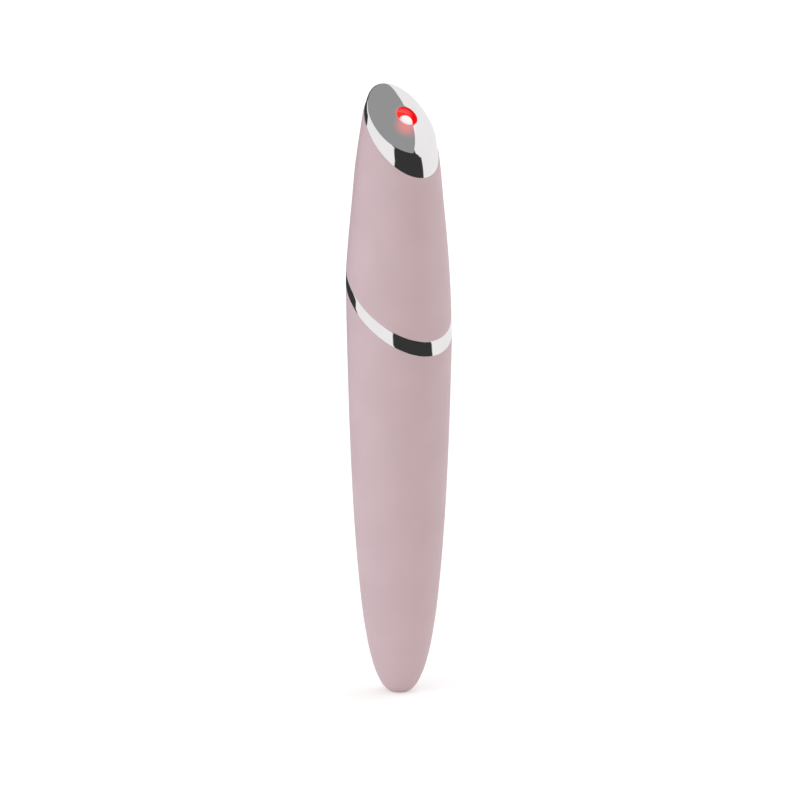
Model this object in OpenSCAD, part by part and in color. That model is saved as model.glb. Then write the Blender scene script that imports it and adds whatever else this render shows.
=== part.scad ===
// Heated eye massager wand with a slanted massage face, a trim ring and a power button on its back.
// Origin at the centre of the flat tip, +Z up along the wand, the low side of both slants towards -Y.

/* [Casings] */
// Thickness of both casing walls
wall = 1.6; // [1.4:0.1:1.8]
// Height of the solid tip below the cavity
tip_floor = 5; // [4:0.5:7]
// Distance of the upper casing's axis behind the lower one's
upper_back = 0.6; // [0:0.05:0.7]

/* [Trim ring] */
// Slant of the ring, in degrees
ring_slant = 39.1; // [36:0.1:41]
// Height of the ring's lower face on the axis
ring_low = 82.7; // [82:0.1:84]
// Thickness of the ring, square to its faces
ring_thick = 2.2; // [1.8:0.1:2.6]
// Depth of the ring's collar in each casing
collar_depth = 3; // [2:0.5:3.5]

/* [Massage head] */
// Slant of the massage face, in degrees
head_slant = 46.6; // [46.3:0.1:47.5]
// Height of the casing's slanted rim on the axis
head_height = 119.3; // [119:0.05:120]
// Height of the cap's crown above the rim
crown = 4.4; // [4.3:0.1:4.6]
// Distance of the crown's middle up the slope from the axis
crown_up = 0.7; // [0:0.1:1]
// Radius of the face along the slope
face_long_r = 25.5; // [24:0.5:28]
// Radius of the face across the slope
face_cross_r = 11.7; // [11.4:0.1:12]
// Thickness of the cap
cap_wall = 1.3; // [1.1:0.1:1.4]
// Depth of the skirt in the casing
skirt_depth = 3; // [2:0.5:3.5]
// Diameter of the light hole
light_d = 4.6; // [4:0.1:4.8]
// Distance of the light hole up the slope from the axis
light_up = 0.7; // [0.3:0.1:1]

/* [Power button] */
// Height of the button's centre on the back
button_z = 77.5; // [76:0.5:79]
// Width of the button
button_w = 5.8; // [5:0.1:6]
// Length of the button along the wand
button_l = 9.8; // [8:0.1:10]
// How far the button stands out of the casing
button_proud = 0.15; // [0.05:0.05:0.2]
// Travel of the button
button_travel = 0.25; // [0.2:0.05:0.3]

/* [Charging port] */
// Height of the port's centre on the back
port_z = 15.5; // [15:0.5:17]
// Distance of the port's mouth from the axis
port_mouth = 6.5; // [6.3:0.1:6.6]

/* [Battery] */
// Diameter of the cell
cell_d = 10; // [9:0.5:10]
// Length of the cell
cell_l = 43.6; // [40:0.2:43.6]
// Height of the cell's lower end
cell_z = 26.7; // [26.6:0.1:27]

/* [Vibration motor] */
// Diameter of the motor
motor_d = 6; // [5.8:0.1:6]
// Length of the motor's can
motor_l = 10; // [10:0.5:10.5]
// Height of the motor's lower end
motor_z = 93.6; // [93.4:0.1:94]

/* [Hidden] */

$fn = 96;
big = 60;
slit = 0.05;
pink = [0.79, 0.70, 0.72];
chrome = [0.86, 0.86, 0.87];
board_green = [0.10, 0.36, 0.22];
chip_black = [0.13, 0.13, 0.14];
steel = [0.72, 0.73, 0.74];

// Height and radius at each station of the lower casing, from the tip to above the ring
lower_stations = [[0, 1.95], [0.35, 2.5], [1.2, 3.4], [2.7, 4.3], [5, 5.27], [7.9, 6.1],
    [15.3, 7.48], [25.7, 8.64], [38.3, 9.58], [52.9, 10.28], [67.5, 10.73], [82.1, 11.05], [96, 11.2]];
// The same for the upper casing, about its own axis
upper_stations = [[61, 11.15], [74, 11.2], [81.5, 11.15], [88.4, 10.87], [96.6, 10.27], [104.7, 9.5],
    [113, 8.7], [119.6, 7.72], [124, 6.98], [132, 4.2]];

// Smooth curve through stations, spaced by the distance between them
function span(s, i) = norm(s[i + 1] - s[i]);
function chord(s, i) = (s[i + 1] - s[i]) / span(s, i);
function tangent(s, i) = i == 0 ? chord(s, 0)
    : i == len(s) - 1 ? chord(s, i - 1)
    : (chord(s, i) * span(s, i - 1) + chord(s, i - 1) * span(s, i)) / (span(s, i) + span(s, i - 1));
function on_span(s, i, t) = s[i] * (2 * t^3 - 3 * t^2 + 1) + tangent(s, i) * span(s, i) * (t^3 - 2 * t^2 + t)
    + s[i + 1] * (3 * t^2 - 2 * t^3) + tangent(s, i + 1) * span(s, i) * (t^3 - t^2);
function smooth(s, steps) = concat([for (i = [0:len(s) - 2], k = [0:steps - 1]) on_span(s, i, k / steps)],
    [s[len(s) - 1]]);
lower_curve = smooth(lower_stations, 3);
upper_curve = smooth(upper_stations, 4);

// Solid of revolution inside a curve, with its radius reduced by inset, from the height start up
module turned(curve, inset, start) {
    kept = [for (p = curve) if (p[0] >= start) p];
    rotate_extrude()
        polygon(concat([[0, kept[0][0]]], [for (p = kept) [p[1] - inset, p[0]]],
            [[0, kept[len(kept) - 1][0]]]));
}
module lower_form(inset = 0, start = 0) { turned(lower_curve, inset, start); }
module upper_form(inset = 0) { set_back() turned(upper_curve, inset, 61); }
// The frame of the upper casing and of what it holds
module set_back() { translate([0, upper_back, 0]) children(); }
// The frame of a slanted plane through the axis at height z, with its +Z square to the plane
module slanted(z, angle) { translate([0, 0, z]) rotate([angle, 0, 0]) children(); }
module slab(from, to) { translate([-big, -big, from]) cube([2 * big, 2 * big, to - from]); }
module ring_slab(from, to) { slanted(ring_low, ring_slant) slab(from, to); }
module head_slab(from, to) { slanted(head_height, head_slant) slab(from, to); }
function on_head(x, up, out) = [x, up * cos(head_slant) - out * sin(head_slant),
    head_height + up * sin(head_slant) + out * cos(head_slant)];
module at_light() { slanted(head_height, head_slant) translate([0, light_up, 0]) children(); }
// The light sits a little to one side and down the slope in its hole
module at_lens() { at_light() translate([0.2, -0.45, 0]) children(); }
module tube(outer, inner, from, to) {
    difference() {
        translate([0, 0, from]) cylinder(r = outer, h = to - from);
        translate([0, 0, from - 1]) cylinder(r = inner, h = to - from + 2);
    }
}
module rod(radius, from, to) { translate([0, 0, from]) cylinder(r = radius, h = to - from); }
module box(low, high) { translate(low) cube(high - low); }
// Round-ended bar along the wand, pointing out of its back between two distances
module back_oval(width, length, from, to, z) {
    translate([0, to, z]) rotate([90, 0, 0]) linear_extrude(to - from) union() {
        for (end = [-1, 1]) translate([0, end * (length - width) / 2]) circle(d = width);
        square([width, length - width], center = true);
    }
}
// Wire swept along a route that never runs straight across the wand, with square-cut ends
function route_dir(p, i) = let (a = p[max(i - 1, 0)], b = p[min(i + 1, len(p) - 1)]) (b - a) / norm(b - a);
module wire(route, radius, sides = 8) {
    rings = [for (i = [0:len(route) - 1])
        let (d = route_dir(route, i), u = cross([1, 0, 0], d) / norm(cross([1, 0, 0], d)), v = cross(d, u))
        for (k = [0:sides - 1]) route[i] + radius * (cos(360 * k / sides) * u + sin(360 * k / sides) * v)];
    last = len(route) - 1;
    polyhedron(rings, concat([[for (k = [0:sides - 1]) k]],
        [for (i = [0:last - 1], k = [0:sides - 1]) let (a = i * sides + k, b = i * sides + (k + 1) % sides)
            [a, a + sides, b + sides, b]],
        [[for (k = [sides - 1:-1:0]) last * sides + k]]));
}

// Outer pieces

module lower_casing() {
    color(pink) difference() {
        lower_form();
        lower_form(wall, tip_floor);
        ring_slab(0, 2 * big);
        back_oval(button_w + 2 * button_gap, button_l + 2 * button_gap, 5, 15, button_z);
        back_oval(socket_h + 2 * port_gap, socket_w + 2 * port_gap, 3, 15, port_z);
    }
}

module upper_casing() {
    color(pink) difference() {
        upper_form();
        upper_form(wall);
        ring_slab(-2 * big, ring_thick);
        head_slab(0, 2 * big);
    }
}

module trim_ring() {
    color(chrome) difference() {
        union() {
            // Flush with the edges of both casings
            hull() {
                intersection() {
                    lower_form();
                    ring_slab(0, edge_slice);
                }
                intersection() {
                    upper_form();
                    ring_slab(ring_thick - edge_slice, ring_thick);
                }
            }
            intersection() {
                lower_form(wall + slit, tip_floor);
                ring_slab(-collar_depth, ring_thick / 2);
            }
            intersection() {
                upper_form(wall + slit);
                ring_slab(ring_thick / 2, ring_thick + collar_depth);
            }
        }
        rod(collar_bore, 0, 2 * big);
    }
}
collar_bore = 8.1;
edge_slice = 0.02;

// Crowned face: the outside of a ring with a long radius along the slope and a short one across it
module crown_form(depth = 0) {
    slanted(head_height, head_slant) translate([0, crown_up, crown - face_long_r]) rotate([0, 90, 0])
        rotate_extrude() translate([face_long_r - face_cross_r, 0]) circle(r = face_cross_r - depth);
}

module massage_head() {
    color(chrome) difference() {
        union() {
            intersection() {
                upper_form(0.1);
                head_slab(0, crown + 1);
                crown_form();
            }
            intersection() {
                upper_form(wall + slit);
                head_slab(-skirt_depth, 0.1);
            }
        }
        intersection() {
            upper_form(wall + skirt_wall);
            head_slab(-skirt_depth - 1, crown);
            crown_form(cap_wall);
        }
        at_light() rod(light_d / 2, 0, crown + 1);
    }
}
skirt_wall = 0.8;
// Height of the face above the rim's plane at the light hole
light_face = crown - (light_up - crown_up)^2 / (2 * face_long_r);

module light_lens() {
    color([0.98, 0.93, 0.92]) at_lens() {
        rod(lens_flange_r, lens_low, lens_low + lens_flange);
        rod(lens_r, lens_low, lens_top - lens_bulge);
        intersection() {
            translate([0, 0, lens_top - lens_dome_r]) sphere(r = lens_dome_r);
            rod(lens_r, lens_top - lens_bulge - 0.1, lens_top);
        }
    }
}
lens_r = 1.5;
lens_top = light_face - 0.45;
lens_bulge = 1;
lens_dome_r = (lens_r^2 + lens_bulge^2) / (2 * lens_bulge);
lens_flange_r = 2.9;
lens_flange = 0.5;
lens_gap = 0.75;
lens_low = light_face - cap_wall - lens_gap - lens_flange;

module power_button() {
    color(pink) union() {
        intersection() {
            back_oval(button_w, button_l, flange_top - 0.5, 13, button_z);
            lower_form(-button_proud);
        }
        back_oval(button_w + 2 * button_flange, button_l + 2 * button_flange, flange_top - flange_thick, flange_top,
            button_z);
        translate([0, 0, button_z]) rotate([-90, 0, 0]) rod(stem_r, stem_end, flange_top - 0.5);
    }
}
button_gap = 0.1;
button_flange = 0.7;
flange_thick = 0.9;
flange_top = 8.1;
stem_r = 1.2;

// Switch under the button, standing on the back face of the main board
board_y = 2;
board_thick = 1;
board_top = board_y + board_thick;
board_low = 73.4;
board_high = 91.4;
board_half = 6.4;
switch_w = 4.6;
switch_h = 1.5;
switch_floor = board_top + 0.4;
plunger_r = 1;
plunger_end = board_top + switch_h + 0.6;
stem_end = plunger_end + slit;

module switch_body() {
    color(chip_black) difference() {
        box([-switch_w / 2, board_top, button_z - switch_w / 2],
            [switch_w / 2, board_top + switch_h, button_z + switch_w / 2]);
        translate([0, 0, button_z]) rotate([-90, 0, 0]) rod(plunger_r + slit, switch_floor, 20);
    }
}

module switch_plunger() {
    color([0.85, 0.83, 0.76]) translate([0, 0, button_z]) rotate([-90, 0, 0])
        rod(plunger_r, switch_floor + button_travel + slit, plunger_end);
}

module main_board() {
    color(board_green) difference() {
        box([-board_half, board_y, board_low], [board_half, board_top, board_high]);
        at_screws() rod(screw_hole, 0, board_top + 1);
    }
}
screw_heights = [84.5, 89.5];
screw_r = 0.62;
screw_end = -1.6;
screw_head_r = 1.2;
screw_head = 0.7;
screw_slot = 0.3;
screw_hole = 0.75;
module at_screws() { for (z = screw_heights) translate([0, 0, z]) rotate([-90, 0, 0]) children(); }

// Each chip: centre across, centre height, width, length and thickness
chips = [[-3.6, 88, 3.4, 4.4, 1.1], [3.8, 88, 2.6, 3.2, 0.9], [-4.6, 81, 1.6, 3.2, 0.8],
    [4.7, 81.5, 1.8, 2.6, 1.2], [4.7, 75.5, 2, 1.4, 0.6], [-4.7, 75.5, 2, 1.4, 0.6]];
module board_chips() {
    color(chip_black) for (c = chips)
        box([c[0] - c[2] / 2, board_top, c[1] - c[3] / 2], [c[0] + c[2] / 2, board_top + c[4], c[1] + c[3] / 2]);
}

module board_screws() {
    color(steel) at_screws() difference() {
        union() {
            rod(screw_r, screw_end, board_top + screw_slot);
            rod(screw_head_r, board_top, board_top + screw_head);
        }
        for (turn = [0, 90]) rotate([0, 0, turn])
            box([-0.8, -screw_slot / 2, board_top + screw_head - screw_slot], [0.8, screw_slot / 2, board_top + 1]);
    }
}

// Moulded frame: a cradle for the cell, a spine for the board and a holder for the motor
cradle_r = 6.4;
cradle_low = 24.2;
cradle_high = 72.6;
spine_front = 0.4;
spine_half = 5;
spine_high = 93;
pocket_low = cell_z - 0.3;
pocket_high = cell_z + cell_l + 0.4;
pocket_gap = 0.1;
boss_r = 1.6;
boss_front = -2;
holder_r = 4.2;
holder_low = 92.2;
holder_gap = 0.03;
flange_low = 98.5;
flange_high = 100;
// Heights at which leads pass through the spine to the board
low_leads = 75.6;
high_leads = 87.2;
module inner_frame() {
    color([0.88, 0.87, 0.85]) difference() {
        union() {
            rod(cradle_r, cradle_low, cradle_high);
            box([-spine_half, spine_front, cradle_high - 1], [spine_half, board_y, spine_high]);
            at_screws() rod(boss_r, boss_front, board_y);
            set_back() rod(holder_r, holder_low, motor_z + motor_l);
            intersection() {
                upper_form(wall + 0.1);
                slab(flange_low, flange_high);
            }
        }
        rod(cell_d / 2 + pocket_gap, pocket_low, pocket_high);
        box([-big, -big, pocket_low], [big, -1, pocket_high]);
        // Notches for the leads at both ends of the cradle
        box([-2, -big, cradle_low - 1], [2, -4.9, cradle_high + 1]);
        // Slot for the upper end of the charging board
        box([charge_x - charge_thick, -charge_half - 0.2, cradle_low - 1], [charge_x, charge_half + 0.2, charge_high]);
        at_screws() rod(screw_r + 0.04, screw_end - 0.1, board_top);
        // Windows for the leads in the spine
        box([-3.2, 0, low_leads - 1.2], [3.2, board_y + 1, low_leads + 1.2]);
        for (side = [-1, 1]) box([side * 3.1 - 1.1, 0, high_leads - 1], [side * 3.1 + 1.1, board_y + 1, high_leads + 1]);
        set_back() {
            rod(motor_d / 2 + holder_gap, motor_z, 2 * big);
            // Front slot for the motor's leads and openings for the leads to the head
            box([-1.4, -big, holder_low - 1], [1.4, -1.6, motor_z + 2.4]);
            for (side = [-1, 1])
                box([side * 5.95 - 1.25, -1.2, flange_low - 1], [side * 5.95 + 1.25, 1.2, flange_high + 1]);
        }
    }
}

module battery_cell() {
    color([0.20, 0.36, 0.62]) {
        rod(cell_d / 2, cell_z, cell_z + cell_l - 0.4);
        rod(1.6, cell_z + cell_l - 0.5, cell_z + cell_l);
    }
}

module battery_tabs() {
    color(steel) for (z = [cell_z - tab, cell_z + cell_l]) {
        rod(3, z, z + tab);
        box([-tab_half, -5.9, z], [tab_half, 0, z + tab]);
    }
}
tab = 0.2;
tab_half = 0.8;

// Charging socket with its long side along the wand, and the board that it stands on
socket_w = 8.94;
socket_h = 3.26;
socket_l = 7.3;
socket_wall = 0.3;
port_gap = 0.15;
socket_back = port_mouth - socket_l;
charge_x = -socket_h / 2;
charge_thick = 1;
charge_low = 10.4;
charge_high = 25;
charge_half = 3.9;
module port_socket() {
    color(steel) difference() {
        back_oval(socket_h, socket_w, socket_back, port_mouth, port_z);
        back_oval(socket_h - 2 * socket_wall, socket_w - 2 * socket_wall, socket_back + 1, port_mouth + 1, port_z);
    }
}

module port_tongue() {
    color(chip_black) box([-0.35, socket_back + 1, port_z - 3.34], [0.35, port_mouth - 0.8, port_z + 3.34]);
}

module charge_board() {
    color(board_green) box([charge_x - charge_thick, -charge_half, charge_low], [charge_x, charge_half, charge_high]);
}

module charge_chips() {
    color(chip_black) {
        box([charge_x - charge_thick - 0.9, -1.6, 13], [charge_x - charge_thick, 1.6, 17]);
        box([charge_x, -3.2, 21], [charge_x + 1, -0.8, 23.6]);
        box([charge_x, 0.6, 21.2], [charge_x + 0.8, 3, 23]);
    }
}

// Vibration motor on the upper casing's axis
can_wall = 0.25;
in_can_r = motor_d / 2 - can_wall - 0.02;
magnet_bore = 1.95;
arc_r = 1.75;
arm_half = 0.25;
commutator_r = 0.75;
bush_r = 0.83;
bush_hole = 0.85;
bush_l = 1;
shaft_r = 0.4;
shaft_fit = 0.42;
rotor_fit = 0.405;
endcap_top = motor_z + 1;
can_top = motor_z + motor_l;
magnet_low = motor_z + 2.4;
magnet_high = can_top - 1.2;
core_low = magnet_low + 0.6;
core_high = magnet_high - 0.6;
commutator_low = endcap_top + 0.3;
module motor_can() {
    color(steel) set_back() difference() {
        rod(motor_d / 2, motor_z, can_top);
        rod(motor_d / 2 - can_wall, motor_z - 1, can_top - can_wall);
        rod(bush_hole, motor_z, can_top + 1);
    }
}

module motor_endcap() {
    color(chip_black) set_back() tube(in_can_r, bush_hole, motor_z, endcap_top);
}

module motor_bushes() {
    color([0.72, 0.55, 0.30]) set_back() {
        tube(bush_r, shaft_fit, endcap_top + 0.1 - bush_l, endcap_top + 0.1);
        tube(bush_r, shaft_fit, can_top + 0.4 - bush_l, can_top + 0.4);
    }
}

module motor_magnet() {
    color([0.25, 0.25, 0.27]) set_back() tube(in_can_r, magnet_bore, magnet_low, magnet_high);
}

module motor_brushes() {
    color([0.80, 0.58, 0.34]) set_back() for (side = [0, 180]) rotate([0, 0, side])
        box([commutator_r + slit, -0.3, endcap_top], [commutator_r + 0.2, 0.3, commutator_low + 0.8]);
}

module motor_shaft() { color(steel) set_back() rod(shaft_r, motor_z + 0.15, weight_high + 0.3); }

module motor_commutator() {
    color([0.80, 0.50, 0.28]) set_back() tube(commutator_r, rotor_fit, commutator_low, commutator_low + 0.9);
}

module motor_core() {
    color([0.45, 0.46, 0.48]) set_back() difference() {
        union() {
            rod(0.72, core_low, core_high);
            for (arm = [0, 120, 240]) rotate([0, 0, arm])
                box([0, -arm_half, core_low], [arc_r - 0.2, arm_half, core_high]);
            difference() {
                tube(arc_r, arc_r - 0.35, core_low, core_high);
                for (arm = [60, 180, 300]) rotate([0, 0, arm])
                    box([0, -0.3, core_low - 1], [3, 0.3, core_high + 1]);
            }
        }
        rod(rotor_fit, core_low - 1, core_high + 1);
    }
}

module motor_windings() {
    color([0.76, 0.38, 0.18]) set_back() for (arm = [0, 120, 240]) rotate([0, 0, arm]) difference() {
        box([0.8, -0.55, core_low - 0.4], [1.25, 0.55, core_high + 0.4]);
        box([0, -arm_half, core_low], [3, arm_half, core_high]);
    }
}

weight_low = can_top + 1.4;
weight_high = weight_low + 4;
module motor_weight() {
    color([0.55, 0.55, 0.57]) set_back() difference() {
        union() {
            rod(0.95, weight_low, weight_high);
            intersection() {
                rod(2.5, weight_low, weight_high);
                box([-3, -3, weight_low], [3, 0, weight_high]);
            }
        }
        rod(rotor_fit, weight_low - 1, weight_high + 1);
    }
}

// Pieces behind the massage face
film_thick = 0.2;
film_hole = 2.8;
pad_low = -1;
pad_high = 0.4;
light_board_thick = 0.8;
module heater_film() {
    color([0.78, 0.45, 0.16]) difference() {
        intersection() {
            upper_form(wall + skirt_wall + 0.4);
            head_slab(1, crown);
            crown_form(cap_wall + 0.02);
        }
        crown_form(cap_wall + 0.02 + film_thick);
        at_light() rod(film_hole, 0, crown);
    }
}

module insulation_pad() {
    color([0.30, 0.30, 0.32]) difference() {
        intersection() {
            upper_form(wall + skirt_wall + 0.15);
            head_slab(pad_low, pad_high);
        }
        // Openings for the leads
        slanted(head_height, head_slant) for (x = [-4.5, -2, 2, 4.5])
            box([x - 0.6, -1.2, pad_low - 1], [x + 0.6, 0, pad_high + 1]);
    }
}

module temperature_sensor() {
    color([0.15, 0.12, 0.10]) slanted(head_height, head_slant)
        translate([0, sensor_up, crown - (sensor_up - crown_up)^2 / (2 * face_long_r) - cap_wall - film_thick - 0.6])
            rotate([0, 90, 0]) rod(0.5, -1, 1);
}
sensor_up = -3.4;

module light_board() {
    color([0.92, 0.92, 0.90]) at_light() box([-3, -2.6, pad_high], [3, 2.6, pad_high + light_board_thick]);
}

module red_light() {
    color([0.85, 0.10, 0.08]) at_lens()
        box([-1, -0.6, pad_high + light_board_thick], [1, 0.6, lens_low - slit]);
}

// Leads, each held in the casing all the way and ending on the piece that it is soldered to
board_end = board_y - 0.02;
lead_r = 0.4;
thin_lead_r = 0.3;
module battery_leads() {
    color([0.75, 0.10, 0.10]) {
        wire([[0, -5.5, cell_z + 0.02], [0, -5.5, 27.8], [0, -5.7, 40], [0, -6.6, 66], [0, -6.6, 72.4],
            [-0.6, -5.4, 74.6], [-0.7, -2.5, low_leads], [-0.7, 0, low_leads], [-0.7, board_end, low_leads]], lead_r);
        wire([[0, -5.45, cell_z + cell_l + tab + 0.02], [0, -5.45, 72.6], [0.6, -4.2, 74.6], [0.7, -1.5, low_leads],
            [0.7, 0, low_leads], [0.7, board_end, low_leads]], lead_r);
    }
}

module charge_leads() {
    board_x = charge_x - charge_thick / 2;
    edge = -charge_half - 0.02;
    color([0.12, 0.12, 0.13]) {
        wire([[board_x, edge, 22.6], [board_x, -4.4, 22.6], [-1.8, -5.2, 23], [-1.35, -5.7, 24.6], [-1.35, -5.7, 72.6],
            [-2, -4.4, 74.8], [-2.2, -1.5, low_leads], [-2.2, 0, low_leads], [-2.2, board_end, low_leads]], lead_r);
        wire([[board_x, edge, 20.6], [board_x, -4.4, 20.6], [-1.2, -5.1, 20.8], [0.8, -5.3, 22.4], [1.35, -5.7, 24.6],
            [1.35, -5.7, 72.6], [2, -4.4, 74.8], [2.2, -1.5, low_leads], [2.2, 0, low_leads],
            [2.2, board_end, low_leads]], lead_r);
    }
}

module motor_leads() {
    color([0.15, 0.25, 0.60]) for (side = [-1, 1])
        wire([[side * 2.6, board_end, high_leads], [side * 2.6, 0, high_leads], [side * 2.6, -1.8, 87.5],
            [side * 2.2, -2.8, 88.8], [side * 1.2, -2.9, 91], [side * 0.8, -1.9, 92.6], [side * 0.8, -1.5, 93.2],
            [side * 0.8, -1.5, motor_z - 0.02]], thin_lead_r);
}

module head_leads() {
    color([0.90, 0.88, 0.84]) for (side = [-1, 1]) {
        wire([[side * 5.75, board_end, 89], [side * 5.75, 1.2, 89], [side * 5.85, 0, 90], [side * 6.2, 0.2, 94],
            [side * 6.2, 0.6, 103], [side * 5.4, 0.4, 112], [side * 4.5, 0.9, 117.4], on_head(side * 4.5, -0.6, -1.3),
            on_head(side * 4.5, -0.6, 0.5), on_head(side * 4.5, -0.6, 1.28)], thin_lead_r);
        wire([[side * 5.75, board_end, 87], [side * 5.75, 1, 87], [side * 5.5, -0.4, 88], [side * 5.1, -1, 91],
            [side * 5.2, 0, 96], [side * 5.2, 0.2, 103], [side * 3.2, 0.4, 111], [side * 2, 0.9, 117.4],
            on_head(side * 2, -0.6, -1.3), on_head(side * 2, -0.6, pad_high - 0.02)], thin_lead_r);
    }
}

lower_casing();
upper_casing();
trim_ring();
massage_head();
light_lens();
power_button();
inner_frame();
battery_cell();
battery_tabs();
main_board();
board_chips();
board_screws();
switch_body();
switch_plunger();
port_socket();
port_tongue();
charge_board();
charge_chips();
motor_can();
motor_endcap();
motor_bushes();
motor_magnet();
motor_brushes();
motor_shaft();
motor_core();
motor_windings();
motor_commutator();
motor_weight();
heater_film();
insulation_pad();
temperature_sensor();
light_board();
red_light();
battery_leads();
charge_leads();
motor_leads();
head_leads();
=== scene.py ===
import math
import bmesh
import bpy
from mathutils import Matrix, Vector


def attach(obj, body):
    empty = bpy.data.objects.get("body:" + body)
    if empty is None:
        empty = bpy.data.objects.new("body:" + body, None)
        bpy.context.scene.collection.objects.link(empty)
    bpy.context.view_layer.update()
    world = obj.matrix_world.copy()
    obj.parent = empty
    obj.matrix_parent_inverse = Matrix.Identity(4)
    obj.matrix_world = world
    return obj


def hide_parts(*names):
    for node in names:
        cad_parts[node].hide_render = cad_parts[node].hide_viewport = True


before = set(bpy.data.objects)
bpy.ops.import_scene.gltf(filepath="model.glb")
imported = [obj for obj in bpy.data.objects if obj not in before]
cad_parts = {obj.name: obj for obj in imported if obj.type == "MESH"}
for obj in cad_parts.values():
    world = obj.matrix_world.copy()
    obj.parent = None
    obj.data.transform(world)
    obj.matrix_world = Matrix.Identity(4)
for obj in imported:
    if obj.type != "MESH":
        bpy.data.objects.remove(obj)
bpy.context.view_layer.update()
print("loaded the frame with", len(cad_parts), "nodes")

mm = 0.001
turn = 2 * math.pi
sharpAngle = math.radians(40)  # faces that meet more sharply keep a hard edge
halvings = 40  # how often a search for a surface halves its step
roundLifts = (30, 60, 90)  # degrees round a rim's rounding
softShares = (0, 0.33, 0.67, 1)  # how far round a small rounding its rows lie


def curveThrough(stations, steps):  # smooth curve through stations, spaced by the distance between them
    points = [Vector(s) for s in stations]
    spans = [(b - a).length for a, b in zip(points, points[1:])]
    chords = [(b - a) / s for a, b, s in zip(points, points[1:], spans)]
    tangents = [chords[0]]
    for i in range(1, len(chords)):
        tangents.append((chords[i] * spans[i - 1] + chords[i - 1] * spans[i]) / (spans[i] + spans[i - 1]))
    tangents.append(chords[-1])
    curve = []
    for i, span in enumerate(spans):
        for k in range(steps):
            t = k / steps
            curve.append(points[i] * (2 * t**3 - 3 * t**2 + 1) + tangents[i] * span * (t**3 - 2 * t**2 + t)
                         + points[i + 1] * (3 * t**2 - 2 * t**3) + tangents[i + 1] * span * (t**3 - t**2))
    return curve + [points[-1]]


def radiusAt(curve, height):
    for low, high in zip(curve, curve[1:]):
        if height <= high[0]:
            return low[1] + (high[1] - low[1]) * (height - low[0]) / (high[0] - low[0])
    return curve[-1][1]


def skin(name, rows, closed=False):  # one skin over rows of points, its two ends capped or joined
    mesh = bmesh.new()
    ring = bmesh.ops.create_circle(mesh, segments=len(rows[0]), radius=1)["verts"]
    edges = mesh.edges[:]
    firstEdges = edges
    for number, row in enumerate(rows):
        if number:
            grown = bmesh.ops.extrude_edge_only(mesh, edges=edges)["geom"]
            fresh = {v for v in grown if isinstance(v, bmesh.types.BMVert)}
            ring = [next(e.other_vert(v) for e in v.link_edges if e.other_vert(v) in fresh) for v in ring]
            edges = [e for e in grown if isinstance(e, bmesh.types.BMEdge) and fresh.issuperset(e.verts)]
        for vert, point in zip(ring, row):
            vert.co = Vector(point) * mm
    if closed:
        bmesh.ops.bridge_loops(mesh, edges=firstEdges + edges)
    else:
        bmesh.ops.contextual_create(mesh, geom=firstEdges)
        bmesh.ops.contextual_create(mesh, geom=edges)
    bmesh.ops.recalc_face_normals(mesh, faces=mesh.faces)
    return addPiece(name, mesh)


def addPiece(name, mesh):
    for face in mesh.faces:
        face.smooth = True
    piece = addObject(name, mesh)
    piece.data.set_sharp_from_angle(angle=sharpAngle)
    return piece


def addObject(name, mesh):
    data = bpy.data.meshes.new(name)
    mesh.to_mesh(data)
    mesh.free()
    made = bpy.data.objects.new(name, data)
    bpy.context.scene.collection.objects.link(made)
    return made


def place(piece, body, slot, finish, *nodes):
    piece.data.materials.clear()
    piece.data.materials.append(finish)
    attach(piece, body)
    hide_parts(*nodes)


def cut(piece, cutter):  # takes a closed cutter out of a piece
    change = piece.modifiers.new("cut", "BOOLEAN")
    change.operation = "DIFFERENCE"
    change.solver = "EXACT"
    change.object = cutter
    bpy.context.view_layer.update()
    solid = bpy.data.meshes.new_from_object(piece.evaluated_get(bpy.context.evaluated_depsgraph_get()))
    piece.modifiers.clear()
    piece.data = solid
    bpy.data.objects.remove(cutter)
    for face in solid.polygons:
        face.use_smooth = True
    solid.set_sharp_from_angle(angle=sharpAngle)


def blendRows(nears, corners, fars, shares):  # rows of points on the rounding between two surfaces
    rows = []
    for share in shares:
        rows.append([Vector(near) * (1 - share)**2 + Vector(corner) * 2 * share * (1 - share)
                     + Vector(far) * share**2 for near, corner, far in zip(nears, corners, fars)])
    return rows


class Signal:  # a socket of a material, so that its maths is written as Python
    def __init__(self, tree, socket=None):
        self.tree = tree
        self.socket = socket

    def node(self, kind, settings=None, inputs=None, output=0):
        made = self.tree.nodes.new(kind)
        for key, value in (settings or {}).items():
            setattr(made, key, value)
        for key, value in (inputs or {}).items():
            if isinstance(value, Signal):
                self.tree.links.new(value.socket, made.inputs[key])
            else:
                made.inputs[key].default_value = value
        return Signal(self.tree, made.outputs[output])

    def maths(self, operation, *values):
        return self.node("ShaderNodeMath", {"operation": operation}, dict(enumerate(values)))

    def __add__(self, other):
        return self.maths("ADD", self, other)

    def __radd__(self, other):
        return self.maths("ADD", other, self)

    def __sub__(self, other):
        return self.maths("SUBTRACT", self, other)

    def __rsub__(self, other):
        return self.maths("SUBTRACT", other, self)

    def __mul__(self, other):
        return self.maths("MULTIPLY", self, other)

    def __rmul__(self, other):
        return self.maths("MULTIPLY", other, self)

    def __truediv__(self, other):
        return self.maths("DIVIDE", self, other)

    def __pow__(self, other):
        return self.maths("POWER", self, other)


def tone(*screen):  # a screen colour of 0 to 255 as the light that it stands for
    return tuple(c / 255 / 12.92 if c <= 10 else ((c / 255 + 0.055) / 1.055)**2.4 for c in screen)


def surface(name, **constants):
    made = bpy.data.materials.new(name)
    made.use_nodes = True
    shader = made.node_tree.nodes["Principled BSDF"]
    for key, value in constants.items():
        shader.inputs[key.replace("_", " ")].default_value = value
    return made, Signal(made.node_tree), shader


def feed(shader, signals):
    for key, signal in signals.items():
        signal.tree.links.new(signal.socket, shader.inputs[key])


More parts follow.
